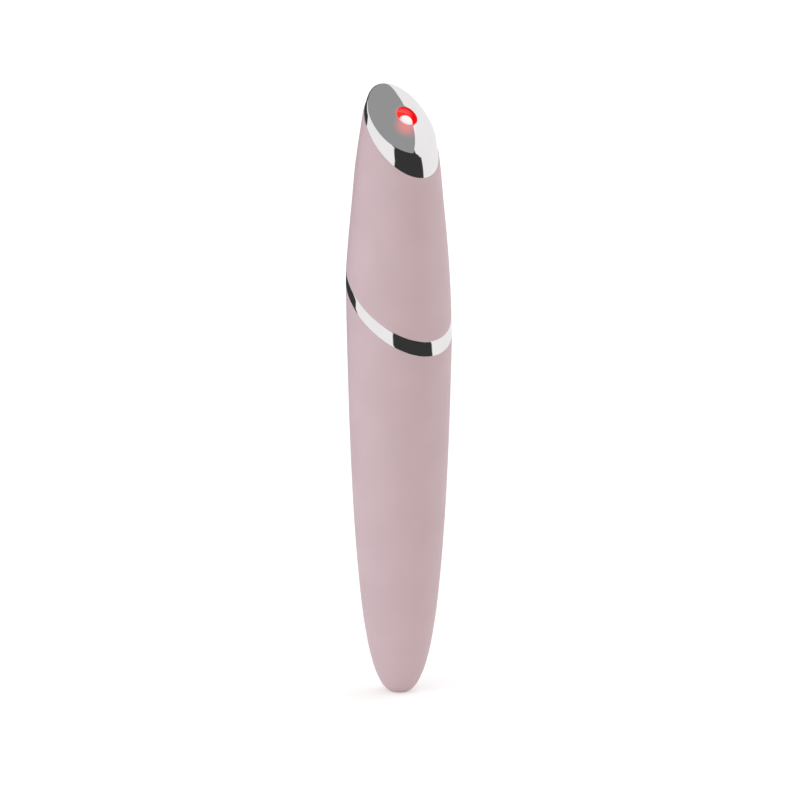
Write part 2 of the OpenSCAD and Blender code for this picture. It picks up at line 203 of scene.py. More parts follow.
def between(start, factor, a, b):  # a mix of two colours, each a signal or three numbers
    first, second = [(*end, 1) if isinstance(end, tuple) else end for end in (a, b)]
    return start.node("ShaderNodeMix", {"data_type": "RGBA"}, {0: factor, 6: first, 7: second}, 2)


def grain(start, scale, detail=3, roughness=0.5):
    spot = start.node("ShaderNodeTexCoord", output="Object")
    inputs = {"Vector": spot, "Scale": scale, "Detail": detail, "Roughness": roughness}
    return start.node("ShaderNodeTexNoise", {}, inputs)


def along(start, axis):
    spot = start.node("ShaderNodeTexCoord", output="Object")
    return start.node("ShaderNodeSeparateXYZ", {}, {0: spot}, "XYZ".index(axis))


def millimetres(start, axis):
    return along(start, axis) * 1000


def smoothly(signal, low, high):
    return signal.node("ShaderNodeMapRange", {"interpolation_type": "SMOOTHSTEP"},
                       {"Value": signal, "From Min": low, "From Max": high})


def above(signal, level, soft):  # 1 where a signal is over a level
    return smoothly(signal, level, level + soft)


def unsigned(signal):
    return signal.maths("ABSOLUTE", signal)


def distance(across, up):
    return (across * across + up * up) ** 0.5


def bumped(height, strength, depth):
    return height.node("ShaderNodeBump", {}, {"Strength": strength, "Distance": depth, "Height": height})


softPink = {"colour": (197, 173, 177), "shade": (193, 169, 173), "cloud": 90, "cloudRange": (0.3, 0.7),
            "roughness": 0.5, "spread": 0.07, "grain": 9000, "bumpStrength": 0.12, "bump": 0.02 * mm}


def softTouch(name, look):  # pale paint with a fine soft-touch grain
    made, start, shader = surface(name, Specular_IOR_Level=0.3)
    cloud = grain(start, look["cloud"], detail=2)
    fine = grain(start, look["grain"], detail=2, roughness=0.6)
    shade = smoothly(cloud, *look["cloudRange"])
    feed(shader, {
        "Base Color": between(start, shade, tone(*look["colour"]), tone(*look["shade"])),
        "Roughness": look["roughness"] + (fine - 0.5) * look["spread"] + (cloud - 0.5) * look["spread"],
        "Normal": bumped(fine, look["bumpStrength"], look["bump"]),
    })
    return made


chrome = {"colour": (243, 243, 244), "shade": (240, 240, 241), "smudge": 160, "smudgeRange": (0.35, 0.7),
          "roughness": 0.02, "roughRange": (0.45, 0.75), "smudgeRough": 0.03, "grain": 2500,
          "grainRough": 0.01, "bumpStrength": 0.02, "bump": 0.005 * mm}


def plating(name, **constants):  # bright plating with faint smudges
    made, start, shader = surface(name, Metallic=1.0, **constants)
    smudge = grain(start, chrome["smudge"], detail=4, roughness=0.6)
    fine = grain(start, chrome["grain"], detail=2)
    shade = smoothly(smudge, *chrome["smudgeRange"])
    colour = between(start, shade, tone(*chrome["colour"]), tone(*chrome["shade"]))
    dulled = smoothly(smudge, *chrome["roughRange"])
    rough = chrome["roughness"] + dulled * chrome["smudgeRough"] + fine * chrome["grainRough"]
    normal = bumped(fine, chrome["bumpStrength"], chrome["bump"])
    feed(shader, {"Base Color": colour, "Roughness": rough, "Normal": normal})
    return made, start, shader, colour, rough


# Shapes, in millimetres
casing = {
    "lowerStations": [(0, 1.95), (0.35, 2.5), (1.2, 3.4), (2.7, 4.3), (5, 5.27), (7.9, 6.1), (15.3, 7.48),
                      (25.7, 8.64), (38.3, 9.58), (52.9, 10.28), (67.5, 10.73), (82.1, 11.05), (96, 11.2)],
    "upperStations": [(61, 11.15), (74, 11.2), (81.5, 11.15), (88.4, 10.87), (96.6, 10.27), (104.7, 9.5),
                      (113, 8.7), (119.6, 7.72), (124, 6.98), (132, 4.2)],
    "curveSteps": 8, "wall": 1.6, "tipFloor": 5, "tipInsets": (1.2, 0.25), "upperBack": 0.6, "rimRound": 0.06,
    "levelTop": 56, "lowerBands": 22, "upperBands": 46, "insideDrop": 0.5, "below": 14, "above": 20,
    "segments": 192,
}
lowerCurve = curveThrough(casing["lowerStations"], casing["curveSteps"])
upperCurve = curveThrough(casing["upperStations"], casing["curveSteps"])
angles = [turn * k / casing["segments"] for k in range(casing["segments"])]


def turned(curve, back, inset, angle, height):  # point of a casing's surface, the angle from its front
    radius = radiusAt(curve, height) - inset
    return (radius * math.sin(angle), back - radius * math.cos(angle), height)


def onPlane(curve, back, inset, angle, plane, depth=0):  # the same where it crosses a slanted plane
    low, high = plane["height"] - casing["below"], plane["height"] + casing["above"]
    slope = math.tan(math.radians(plane["slant"]))
    for _ in range(halvings):
        middle = (low + high) / 2
        if middle - slope * turned(curve, back, inset, angle, middle)[1] < plane["height"] + depth:
            low = middle
        else:
            high = middle
    return turned(curve, back, inset, angle, low)


ring = {"height": 82.7, "slant": 39.1, "thick": 2.2, "collar": 3, "bore": 8.1, "edge": 0.045, "slit": 0.05,
        "shoulder": 0.8, "bands": (0.2, 0.4, 0.6, 0.8)}
head = {"height": 119.3, "slant": 46.6, "crown": 4.4, "crownUp": 0.7, "longRadius": 25.5, "crossRadius": 11.7,
        "wall": 1.3, "skirt": 3, "skirtWall": 0.8, "inset": 0.1, "edge": 0.26, "topEdge": 0.4, "reach": 16,
        "holeRadius": 2.3, "holeUp": 0.7, "holeEdge": 0.1, "lip": 0.6, "lipWall": 0.3, "segments": 192,
        "faceRows": 22, "innerRows": 8, "edgeShares": (0.14, 0.28, 0.43, 0.57, 0.72, 0.86, 1),
        "sideShares": (0.66, 0.33, 0)}
ringRise = 1 / math.cos(math.radians(ring["slant"]))  # height gained for each step out of the slanted plane
headRise = 1 / math.cos(math.radians(head["slant"]))


def roundedRim(curve, back, plane, base, rise, lifts):  # rows round the edge of a casing's rim
    rows, edge = [], casing["rimRound"]
    for lift in lifts:
        up, over = math.sin(math.radians(lift)), 1 - math.cos(math.radians(lift))
        depth = base + edge * (1 - up) * rise
        rows.append([onPlane(curve, back, edge * over, a, plane, depth) for a in angles])
    return rows


def lowerCasing():  # level rows up to a height, then rows that lean more and more, up to the slanted rim
    wall, base, bands = casing["wall"], casing["levelTop"], casing["lowerBands"]
    heights = [point[0] for point in lowerCurve]

    def level(inset, height):
        return [turned(lowerCurve, 0, inset, a, height) for a in angles]

    def leaning(inset, drop):
        tops = [onPlane(lowerCurve, 0, inset, a, ring, -drop)[2] for a in angles]
        return [[turned(lowerCurve, 0, inset, a, base + (top - base) * k / bands)
                 for a, top in zip(angles, tops)] for k in range(bands + 1)]

    rows = [level(inset, 0) for inset in casing["tipInsets"]]
    rows += [level(0, height) for height in heights[1:] if height < base]
    rows += leaning(0, casing["rimRound"] * ringRise)
    rows += roundedRim(lowerCurve, 0, ring, 0, -ringRise, roundLifts)
    rows.append([onPlane(lowerCurve, 0, wall, a, ring) for a in angles])
    rows += reversed(leaning(wall, casing["insideDrop"]))
    rows += [level(wall, height) for height in reversed(heights) if casing["tipFloor"] < height < base]
    rows.append(level(wall, casing["tipFloor"]))
    return skin("lower_casing_shell", rows)


def upperCasing():
    back, wall, bands = casing["upperBack"], casing["wall"], casing["upperBands"]
    base = ring["thick"] * ringRise

    def wallRows(inset, gap):
        lows = [onPlane(upperCurve, back, inset, a, ring, base + gap * ringRise)[2] for a in angles]
        highs = [onPlane(upperCurve, back, inset, a, head, -gap * headRise)[2] for a in angles]
        return [[turned(upperCurve, back, inset, a, low + (high - low) * k / bands)
                 for a, low, high in zip(angles, lows, highs)] for k in range(bands + 1)]

    rows = roundedRim(upperCurve, back, ring, base, ringRise, reversed(roundLifts))
    rows += wallRows(0, casing["rimRound"])
    rows += roundedRim(upperCurve, back, head, 0, -headRise, roundLifts)
    rows += reversed(wallRows(wall, 0))
    return skin("upper_casing_shell", rows, closed=True)


def trimRing():  # flush with the edges of both casings, with a collar in each
    edge, thick, back = ring["edge"], ring["thick"], casing["upperBack"]
    top = thick * ringRise

    def lower(inset, lift=0):
        return [onPlane(lowerCurve, 0, inset, a, ring, lift) for a in angles]

    def upper(inset, lift=0):
        return [onPlane(upperCurve, back, inset, a, ring, top + lift) for a in angles]

    lowEdge, highEdge = [Vector(p) for p in lower(0)], [Vector(p) for p in upper(0)]
    inset, reach = casing["wall"] + ring["slit"], ring["collar"] * ringRise
    slope = math.tan(math.radians(ring["slant"]))

    def outside(share):
        return [a * (1 - share) + b * share for a, b in zip(lowEdge, highEdge)]

    def bore(lift):
        return [(ring["bore"] * math.sin(a), -ring["bore"] * math.cos(a),
                 ring["height"] - slope * ring["bore"] * math.cos(a) + lift * ringRise) for a in angles]

    rows = [lower(inset), lower(ring["shoulder"])]
    rows += blendRows(lower(edge), lowEdge, outside(edge / thick), softShares)
    rows += [outside(share) for share in ring["bands"]]
    rows += blendRows(outside(1 - edge / thick), highEdge, upper(edge), softShares)
    rows += [upper(ring["shoulder"]), upper(inset), upper(inset, reach), bore(thick + ring["collar"]),
             bore(-ring["collar"]), lower(inset, -reach)]
    return skin("trim_ring_band", rows, closed=True)


headTurn = Matrix.Rotation(math.radians(head["slant"]), 3, "X")


def crownHeight(x, up, depth=0):  # height of the face over the rim's plane
    across, long = head["crossRadius"], head["longRadius"]
    reach = long - across + math.sqrt(max((across - depth)**2 - x * x, 0.01))
    return head["crown"] - long + math.sqrt(reach * reach - (up - head["crownUp"])**2)


def headPoint(angle, reach, lift):  # a point round the hole's axis, the angle from the slope's upper side
    spot = headTurn @ Vector((reach * math.sin(angle), head["holeUp"] + reach * math.cos(angle), lift))
    return spot + Vector((0, 0, head["height"]))


def faceHeight(angle, reach, depth=0):
    return crownHeight(reach * math.sin(angle), head["holeUp"] + reach * math.cos(angle), depth)


def facePoint(angle, reach, depth=0):
    return headPoint(angle, reach, faceHeight(angle, reach, depth))


def edgeReach(angle, inset, lift=None, depth=0):  # how far the casing's surface is from the hole's axis
    low, high = 0, head["reach"]
    for _ in range(halvings):
        middle = (low + high) / 2
        height = lift if lift is not None else faceHeight(angle, middle, depth)
        spot = headPoint(angle, middle, height)
        if math.hypot(spot.x, spot.y - casing["upperBack"]) < radiusAt(upperCurve, spot.z) - inset:
            low = middle
        else:
            high = middle
    return low


def massageHead():  # its edge is rounder towards the top, and the hole has a lip on the inside
    hole, soft, steps, bands = head["holeRadius"], head["holeEdge"], head["faceRows"], head["innerRows"]
    around = [turn * k / head["segments"] for k in range(head["segments"])]
    edges = [head["edge"] + (head["topEdge"] - head["edge"]) * (0.5 + 0.5 * math.cos(a))**2 for a in around]
    rims = [edgeReach(a, head["inset"]) for a in around]
    lifts = [faceHeight(a, rim) - edge for a, rim, edge in zip(around, rims, edges)]

    def side(share):  # the cap's side at a share of its height
        return [headPoint(a, edgeReach(a, head["inset"], lift * share), lift * share)
                for a, lift in zip(around, lifts)]

    mouth = [facePoint(a, hole) for a in around]
    inMouth = [point - headTurn @ Vector((0, 0, soft)) for point in mouth]
    rows = blendRows(inMouth, mouth, [facePoint(a, hole + soft) for a in around], softShares)
    for k in range(1, steps + 1):
        rows.append([facePoint(a, hole + soft + (rim - edge - hole - soft) * k / steps)
                     for a, rim, edge in zip(around, rims, edges)])
    faceEnds = [facePoint(a, rim - edge) for a, rim, edge in zip(around, rims, edges)]
    corners = [facePoint(a, rim) for a, rim in zip(around, rims)]
    rows += blendRows(faceEnds, corners, side(1), head["edgeShares"])
    rows += [side(share) for share in head["sideShares"]]
    collar, inner = casing["wall"] + ring["slit"], casing["wall"] + head["skirtWall"]
    for inset, lift in ((collar, 0), (collar, -head["skirt"]), (inner, -head["skirt"])):
        rows.append([headPoint(a, edgeReach(a, inset, lift), lift) for a in around])
    insides = [edgeReach(a, inner, None, head["wall"]) for a in around]
    lip = hole + head["lipWall"]
    for k in range(bands, -1, -1):
        rows.append([facePoint(a, lip + (inside - lip) * k / bands, head["wall"])
                     for a, inside in zip(around, insides)])
    drop = crownHeight(0, head["holeUp"]) - head["wall"] - head["lip"]
    rows += [[headPoint(a, reach, drop) for a in around] for reach in (lip, hole)]
    return skin("massage_head_cap", rows, closed=True)


lens = {"radius": 1.5, "flangeRadius": 2.9, "flange": 0.5, "bulge": 1, "below": 0.45, "gap": 0.75,
        "side": 0.2, "down": 0.45, "segments": 64, "domeRows": 8, "dome": (0.78, 0.77, 0.755),
        "domeEdge": (0.8, 0.38, 0.38), "domeColour": (0.2, 0.19, 0.18), "lowColour": (0.75, 0.05, 0.04),
        "lowGlow": (0.75, 0.02, 0.015), "rim": (0.72, 1.02), "low": (-0.25, 0.1), "roughness": 0.1,
        "mist": 900, "mistRough": 0.08}


def lightLens():  # turned about an axis a little to one side and down the slope in the hole
    top = crownHeight(0, head["holeUp"]) - lens["below"]
    low = crownHeight(0, head["holeUp"]) - head["wall"] - lens["gap"] - lens["flange"]
    dome = (lens["radius"]**2 + lens["bulge"]**2) / (2 * lens["bulge"])
    mesh = bmesh.new()
    profile = [(0, low), (lens["flangeRadius"], low), (lens["flangeRadius"], low + lens["flange"]),
               (lens["radius"], low + lens["flange"]), (lens["radius"], top - lens["bulge"])]
    for k in range(lens["domeRows"] - 1, -1, -1):
        rise = math.asin(lens["radius"] / dome) * k / lens["domeRows"]
        profile.append((dome * math.sin(rise), top - dome + dome * math.cos(rise)))
    verts = [mesh.verts.new((x, 0, z)) for x, z in profile]
    edges = [mesh.edges.new(pair) for pair in zip(verts, verts[1:])]
    bmesh.ops.spin(mesh, geom=verts + edges, cent=(0, 0, 0), axis=(0, 0, 1), angle=turn,
                   steps=lens["segments"], use_merge=True)
    bmesh.ops.remove_doubles(mesh, verts=mesh.verts, dist=0.001)
    bmesh.ops.recalc_face_normals(mesh, faces=mesh.faces)
    inHole = Matrix.Translation((lens["side"], head["holeUp"] - lens["down"], 0))
    spot = Matrix.Translation((0, 0, head["height"])) @ headTurn.to_4x4() @ inHole
    bmesh.ops.transform(mesh, matrix=Matrix.Scale(mm, 4) @ spot, verts=mesh.verts)
    return addPiece("light_lens_dome", mesh)


button = {"height": 77.5, "width": 5.8, "length": 9.8, "gap": 0.1, "proud": 0.15, "dish": 0.12, "edge": 0.3,
          "flange": 0.7, "flangeThick": 0.9, "flangeTop": 8.1, "stemRadius": 1.2, "stemEnd": 5.15,
          "dishRows": (-2.7, -2.3, -1.9, -1.5, -1.1, -0.7), "edgeLifts": (90, 68, 45, 22, 0),
          "sideRows": (-0.6, -1.2), "points": 96, "mouthChamfer": 0.12, "mouthTo": 5}
port = {"height": 15.5, "width": 3.26, "length": 8.94, "gap": 0.15, "points": 96, "mouthChamfer": 0.15,
        "mouthTo": 3}


def ovalPoints(look, offset):  # points round an oval whose long side runs along the wand
    radius = max(look["width"] / 2 + offset, 0.05)
    straight = (look["length"] - look["width"]) / 2
    half = look["points"] // 2
    points = []
    for k in range(half):
        swing = math.pi * (k + 0.5) / half
        points.append((radius * math.cos(swing), straight + radius * math.sin(swing)))
    return points + [(-x, -z) for x, z in points]


def flatRow(look, offset, y):
    return [(x, y, look["height"] + z) for x, z in ovalPoints(look, offset)]


def backRow(look, offset, proud):  # follows the back of the lower casing
    return [(x, math.sqrt((radiusAt(lowerCurve, z) + proud)**2 - x * x), z)
            for x, _, z in flatRow(look, offset, 0)]


def powerButton():
    half, edge, proud, count = button["width"] / 2, button["edge"], button["proud"], button["points"]
    flangeTop, flangeLow = button["flangeTop"], button["flangeTop"] - button["flangeThick"]
    rows = []
    for offset in button["dishRows"]:
        share = (half + offset + edge) / half
        rows.append(backRow(button, offset, proud - button["dish"] * max(0, 1 - share * share)))
    for lift in button["edgeLifts"]:
        rise = math.radians(lift)
        rows.append(backRow(button, -edge * (1 - math.cos(rise)), proud - edge * (1 - math.sin(rise))))
    rows += [backRow(button, 0, depth) for depth in button["sideRows"]]
    rows += [flatRow(button, 0, flangeTop), flatRow(button, button["flange"], flangeTop),
             flatRow(button, button["flange"], flangeLow)]
    swings = [math.pi * (k + 0.5) / (count // 2) for k in range(count)]
    for y in (flangeLow, button["stemEnd"]):
        rows.append([(button["stemRadius"] * math.cos(swing), y,
                      button["height"] + button["stemRadius"] * math.sin(swing)) for swing in swings])
    return skin("power_button_cap", rows)


def mouthCutter(look):  # cuts an oval opening with a small chamfer that follows the casing's back
    gap, chamfer = look["gap"], look["mouthChamfer"]
    return skin("mouth_cutter", [flatRow(look, gap, look["mouthTo"]), backRow(look, gap, -1),
                                 backRow(look, gap, -chamfer), backRow(look, gap + chamfer, 0),
                                 backRow(look, gap + 2 * chamfer, 1)])


shell = lowerCasing()
cut(shell, mouthCutter(button))
cut(shell, mouthCutter(port))
print("lower casing with its two openings:", len(shell.data.polygons), "faces")

pinkPaint = softTouch("soft_pink", softPink)
place(shell, "body", "casing_pink", pinkPaint, "lower_casing")
place(upperCasing(), "body", "casing_pink", pinkPaint, "upper_casing")
place(powerButton(), "button", "button_pink", pinkPaint, "power_button")
print("casings and button")
place(trimRing(), "body", "trim_chrome", plating("ring_chrome")[0], "trim_ring")

# painted light of the hole on the chrome: the walls' red colour, their painted glow from dim to lit, and a
# painted red glow spilt and hazed on the face below
glow = {"wall": (208, 20, 22), "wallEdge": (0.02, 0.1), "wallRough": 0.25, "wallDim": (0.1, 0.003, 0.006),
        "wallLit": (0.4, 0.09, 0.09), "litUp": (0.2, 2.2), "litOut": (2.9, 4.3), "spill": (1.0, 0.0, 0.0),
        "spillAcross": -1.55, "spillUp": -1.75, "spillCore": 0.2, "spillReach": 3.1, "strength": 0.5,
        "haze": 0.12, "hazeReach": 0.7}


def slopeSpot(start):  # across, up the slope and out of it, in millimetres from the rim's plane on the axis
    x, y, z = [millimetres(start, axis) for axis in "XYZ"]
    lean = math.radians(head["slant"])
    z = z - head["height"]
    return x, y * math.cos(lean) + z * math.sin(lean), z * math.cos(lean) - y * math.sin(lean)


def headFinish():  # plating with painted red light: the hole's walls painted red and glowing, brighter up the slope and nearer the face, and a painted red glow spilt on the chrome below the hole
    made, start, shader, colour, rough = plating("head_chrome", Emission_Strength=1.0)
    across, up, out = slopeSpot(start)
    hole, (wallLow, wallHigh) = head["holeRadius"], glow["wallEdge"]
    reach = distance(across, up - head["holeUp"])
    wall = 1 - smoothly(reach, hole + wallLow, hole + wallHigh)
    spillReach = distance(across - glow["spillAcross"], up - glow["spillUp"])
    spill = 1 - smoothly(spillReach, glow["spillCore"], glow["spillReach"])
    haze = 1 - smoothly(reach, hole, hole + glow["hazeReach"])
    # painted red glow on the face, spilt below the hole and as a haze round it
    light = (spill * glow["strength"] + haze * glow["haze"]) * (1 - wall)
    # painted light and shade on the walls: brighter up the slope, dimmer deeper in
    lit = smoothly(up - head["holeUp"], *glow["litUp"]) * (1 - smoothly(out, *glow["litOut"]))
    onFace = between(start, light, (0.0, 0.0, 0.0), glow["spill"])
    onWall = between(start, lit, glow["wallDim"], glow["wallLit"])
    feed(shader, {"Base Color": between(start, wall, colour, tone(*glow["wall"])),
                  "Roughness": rough + wall * glow["wallRough"],
                  "Emission Color": between(start, wall, onFace, onWall)})
    return made


def lensFinish():  # pale light in the dome, red at its edge and on the foot
    made, start, shader = surface("lens_glow", Emission_Strength=1.0)
    across, up, out = slopeSpot(start)
    reach = distance(across - lens["side"], up - head["holeUp"] + lens["down"])
    rim = smoothly(reach, *[lens["radius"] * share for share in lens["rim"]])
    top = crownHeight(0, head["holeUp"]) - lens["below"] - lens["bulge"]
    low = 1 - smoothly(out, *[top + lift for lift in lens["low"]])
    mist = grain(start, lens["mist"])
    dome = between(start, rim, lens["dome"], lens["domeEdge"])
    feed(shader, {"Base Color": between(start, low, lens["domeColour"], lens["lowColour"]),
                  "Roughness": lens["roughness"] + mist * lens["mistRough"],
                  "Emission Color": between(start, low, dome, lens["lowGlow"])})
    return made


place(massageHead(), "body", "head_chrome", headFinish(), "massage_head")
place(lightLens(), "body", "lens_clear", lensFinish(), "light_lens")
print("ring, head and lens")


# Finishes of the pieces inside, their patterns in millimetres
def stripes(signal, pitch, share, soft=0.12):  # 1 on bands that fill a share of the pitch
    spread = unsigned(signal.maths("FRACT", signal / pitch) - 0.5) * 2
    return 1 - smoothly(spread, share - soft, share + soft)


def spots(start, scale, width):  # round dots scattered over the surface
    spot = start.node("ShaderNodeTexCoord", output="Object")
    pores = start.node("ShaderNodeTexVoronoi", {}, {"Vector": spot, "Scale": scale, "Randomness": 0.8})
    return 1 - smoothly(pores, width * 0.8, width * 1.2)


def stretched(start, scale, stretch):
    spot = start.node("ShaderNodeTexCoord", output="Object")
    drawn = start.node("ShaderNodeMapping", {}, {"Vector": spot, "Scale": stretch})
    inputs = {"Vector": drawn, "Scale": scale, "Detail": 3, "Roughness": 0.6}
    return start.node("ShaderNodeTexNoise", {}, inputs)


def spotIn(start, back=0):  # across, behind the axis and up
    return millimetres(start, "X"), millimetres(start, "Y") - back, millimetres(start, "Z")


def radial(start, back=0):
    x, y, _ = spotIn(start, back)
    return distance(x, y)


plain = {"metal": 0, "cloud": 300, "cloudRange": (0.35, 0.65), "grain": 4000, "stretch": (1, 1, 1),
         "spread": 0.1, "bumpStrength": 0.3, "bump": 0.01 * mm}
plainMarks = {"metal": 0, "raised": 0}


def finish(name, ownLook, marks=None):  # cloudy colour with a fine grain, and a second finish on the marks
    look = {**plain, **ownLook}
    made, start, shader = surface(name, Metallic=float(look["metal"]), IOR=1.5)
    cloud = grain(start, look["cloud"], detail=2)
    fine = stretched(start, look["grain"], look["stretch"])
    shade = smoothly(cloud, *look["cloudRange"])
    colour = between(start, shade, tone(*look["colour"]), tone(*look["shade"]))
    rough = look["roughness"] + (fine - 0.5) * look["spread"] + (cloud - 0.5) * look["spread"]
    height = fine
    if marks:
        mask = marks(start)
        over = {**plainMarks, **look["marks"]}
        colour = between(start, mask, colour, tone(*over["colour"]))
        rough = rough * (1 - mask) + over["roughness"] * mask
        height = fine + mask * over["raised"]
        if over["metal"] != look["metal"]:
            feed(shader, {"Metallic": look["metal"] + (over["metal"] - look["metal"]) * mask})
    normal = bumped(height, look["bumpStrength"], look["bump"])
    feed(shader, {"Base Color": colour, "Roughness": rough, "Normal": normal})
    return made


def dress(name, finished):  # gives a piece of the frame its finish
    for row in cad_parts[name].material_slots:
        row.material = finished


innerFrame = {"colour": (226, 223, 216), "shade": (219, 216, 209), "roughness": 0.48, "grain": 6000,
              "bump": 0.03 * mm}
dress("inner_frame", finish("frame_moulded", innerFrame))

cell = {"colour": (48, 88, 158), "shade": (43, 80, 148), "roughness": 0.24, "grain": 900,
        "stretch": (1, 1, 0.15), "bump": 0.04 * mm, "low": 26.74, "high": 69.86, "endSoft": 0.03,
        "endRadius": (4.25, 4.35),
        "marks": {"colour": (196, 197, 199), "metal": 1, "roughness": 0.3, "raised": -0.6}}


def cellEnds(start):  # bare metal inside the turned-in ends of the sleeve
    _, _, z = spotIn(start)
    ends = 1 - above(z, cell["low"], cell["endSoft"]) + above(z, cell["high"], cell["endSoft"])
    return ends * (1 - smoothly(radial(start), *cell["endRadius"]))


dress("battery_cell", finish("cell_sleeve", cell, cellEnds))

tabs = {"colour": (190, 191, 192), "shade": (178, 179, 181), "metal": 1, "roughness": 0.3, "grain": 1500,
        "stretch": (8, 0.4, 1), "pitch": 1.6, "share": 0.3, "reach": (1.5, 1.7),
        "marks": {"colour": (132, 130, 128), "metal": 1, "roughness": 0.5, "raised": -1}}


def weldDots(start):  # four pressed weld dots near the middle of each tab
    x, y, _ = spotIn(start)
    first, second = [stripes(side + tabs["pitch"] / 2, tabs["pitch"], tabs["share"]) for side in (x, y)]
    return first * second * (1 - smoothly(radial(start), *tabs["reach"]))


dress("battery_tabs", finish("tab_strip", tabs, weldDots))

boards = {"colour": (26, 92, 58), "shade": (22, 84, 52), "roughness": 0.32, "grain": 7000, "bump": 0.04 * mm,
          "pitch": 1.1, "track": 0.42, "zone": 180, "zoneRange": (0.47, 0.53),
          "marks": {"colour": (48, 124, 80), "roughness": 0.28, "raised": 0.8}}


def tracks(*axes):  # copper under the mask, in runs that change direction from place to place
    def marks(start):
        zone = smoothly(grain(start, boards["zone"], detail=1), *boards["zoneRange"])
        runs = [stripes(millimetres(start, axis), boards["pitch"], boards["track"]) for axis in axes]
        return runs[0] * zone + runs[1] * (1 - zone)
    return marks


dress("main_board", finish("main_board_mask", boards, tracks("X", "Z")))
dress("charge_board", finish("charge_board_mask", boards, tracks("Y", "Z")))

chips = {"colour": (36, 36, 38), "shade": (42, 42, 44), "roughness": 0.55, "grain": 9000, "bump": 0.02 * mm,
         "boardTop": 3.0, "chargeMiddle": -2.13, "chargeHalf": 0.5, "foot": 0.3, "footSoft": 0.05,
         "pitch": 0.6, "share": 0.5,
         "marks": {"colour": (196, 194, 190), "metal": 1, "roughness": 0.3, "raised": 0.5}}


def feet(height, top, z):  # tinned feet at the board, up to a height
    return (1 - above(height, top, chips["footSoft"])) * stripes(z, chips["pitch"], chips["share"])


def mainFeet(start):
    _, y, z = spotIn(start)
    return feet(y, chips["boardTop"] + chips["foot"], z)


def chargeFeet(start):
    x, _, z = spotIn(start)
    return feet(unsigned(x - chips["chargeMiddle"]) - chips["chargeHalf"], chips["foot"], z)


dress("board_chips", finish("main_chips", chips, mainFeet))
dress("charge_chips", finish("small_chips", chips, chargeFeet))

# the marks' colour is painted shade: the thread's grooves are painted darker than the plated crests
screws = {"colour": (186, 187, 190), "shade": (170, 170, 172), "metal": 1, "roughness": 0.32, "grain": 5000,
          "bump": 0.06 * mm, "pitch": 0.4, "share": 0.4, "soft": 0.3, "threadTop": 2.9, "topSoft": 0.05,
          "marks": {"colour": (120, 120, 122), "metal": 1, "roughness": 0.45, "raised": -2}}


# painted shade in the thread's grooves, up to the thread's top
def shadedThread(start):
    _, y, _ = spotIn(start)
    shadedGrooves = stripes(y, screws["pitch"], screws["share"], screws["soft"])
    return shadedGrooves * (1 - above(y, screws["threadTop"], screws["topSoft"]))


dress("board_screws", finish("screw_plated", screws, shadedThread))
print("frame, cell and boards")

switch = {"colour": (38, 38, 40), "shade": (46, 46, 48), "roughness": 0.5, "grain": 6000, "bump": 0.02 * mm,
          "coverTop": 4.35, "coverSoft": 0.02,
          "marks": {"colour": (190, 191, 194), "metal": 1, "roughness": 0.28, "raised": 0.4}}


def switchCover(start):  # steel cover over the moulded body
    _, y, _ = spotIn(start)
    return above(y, switch["coverTop"], switch["coverSoft"])


dress("switch_body", finish("switch_moulded", switch, switchCover))
plunger = {"colour": (222, 214, 192), "shade": (214, 205, 182), "roughness": 0.42, "grain": 8000}
dress("switch_plunger", finish("plunger_nylon", plunger))

socket = {"colour": (196, 197, 200), "shade": (182, 183, 186), "metal": 1, "roughness": 0.26, "spread": 0.14,
          "grain": 1800, "stretch": (3, 0.25, 3), "bump": 0.008 * mm}
dress("port_socket", finish("socket_drawn", socket))

tongue = {"colour": (30, 30, 32), "shade": (38, 38, 40), "roughness": 0.45, "grain": 6000, "bump": 0.02 * mm,
          "pitch": 0.5, "share": 0.55, "contactLow": 2.2, "contactHigh": 5.3, "contactSoft": 0.04,
          "middle": 15.5, "reach": 2.95, "reachSoft": 0.02,
          "marks": {"colour": (226, 186, 112), "metal": 1, "roughness": 0.22, "raised": 0.6}}


def contacts(start):  # gilt contacts on both faces of the tongue
    _, y, z = spotIn(start)
    soft = tongue["contactSoft"]
    within = above(y, tongue["contactLow"], soft) * (1 - above(y, tongue["contactHigh"], soft))
    row = 1 - above(unsigned(z - tongue["middle"]), tongue["reach"], tongue["reachSoft"])
    return stripes(z, tongue["pitch"], tongue["share"]) * within * row


dress("port_tongue", finish("tongue_moulded", tongue, contacts))

can = {"colour": (196, 197, 199), "shade": (184, 185, 188), "metal": 1, "roughness": 0.25, "spread": 0.12,
       "grain": 1600, "stretch": (0.5, 0.5, 5), "bump": 0.008 * mm}
dress("motor_can", finish("can_drawn", can))
motorShaft = {"colour": (206, 207, 209), "shade": (196, 197, 199), "metal": 1, "roughness": 0.16,
              "grain": 2400, "stretch": (1, 1, 6), "bump": 0.004 * mm}
dress("motor_shaft", finish("shaft_ground", motorShaft))
endcap = {"colour": (34, 34, 36), "shade": (42, 42, 44), "roughness": 0.46, "grain": 6000, "bump": 0.02 * mm}
dress("motor_endcap", finish("endcap_moulded", endcap))
bushes = {"colour": (190, 148, 88), "shade": (168, 128, 74), "metal": 1, "roughness": 0.42, "spread": 0.2,
          "cloud": 4000, "grain": 9000, "bump": 0.03 * mm}
dress("motor_bushes", finish("bush_sintered", bushes))
magnet = {"colour": (66, 66, 70), "shade": (56, 56, 60), "metal": 0.6, "roughness": 0.5, "spread": 0.2,
          "cloud": 2500, "grain": 8000, "bump": 0.04 * mm}
dress("motor_magnet", finish("magnet_sintered", magnet))
brushes = {"colour": (212, 158, 96), "shade": (198, 142, 84), "metal": 1, "roughness": 0.28, "grain": 3000,
           "stretch": (1, 1, 4), "bump": 0.006 * mm}
dress("motor_brushes", finish("brush_strip", brushes))
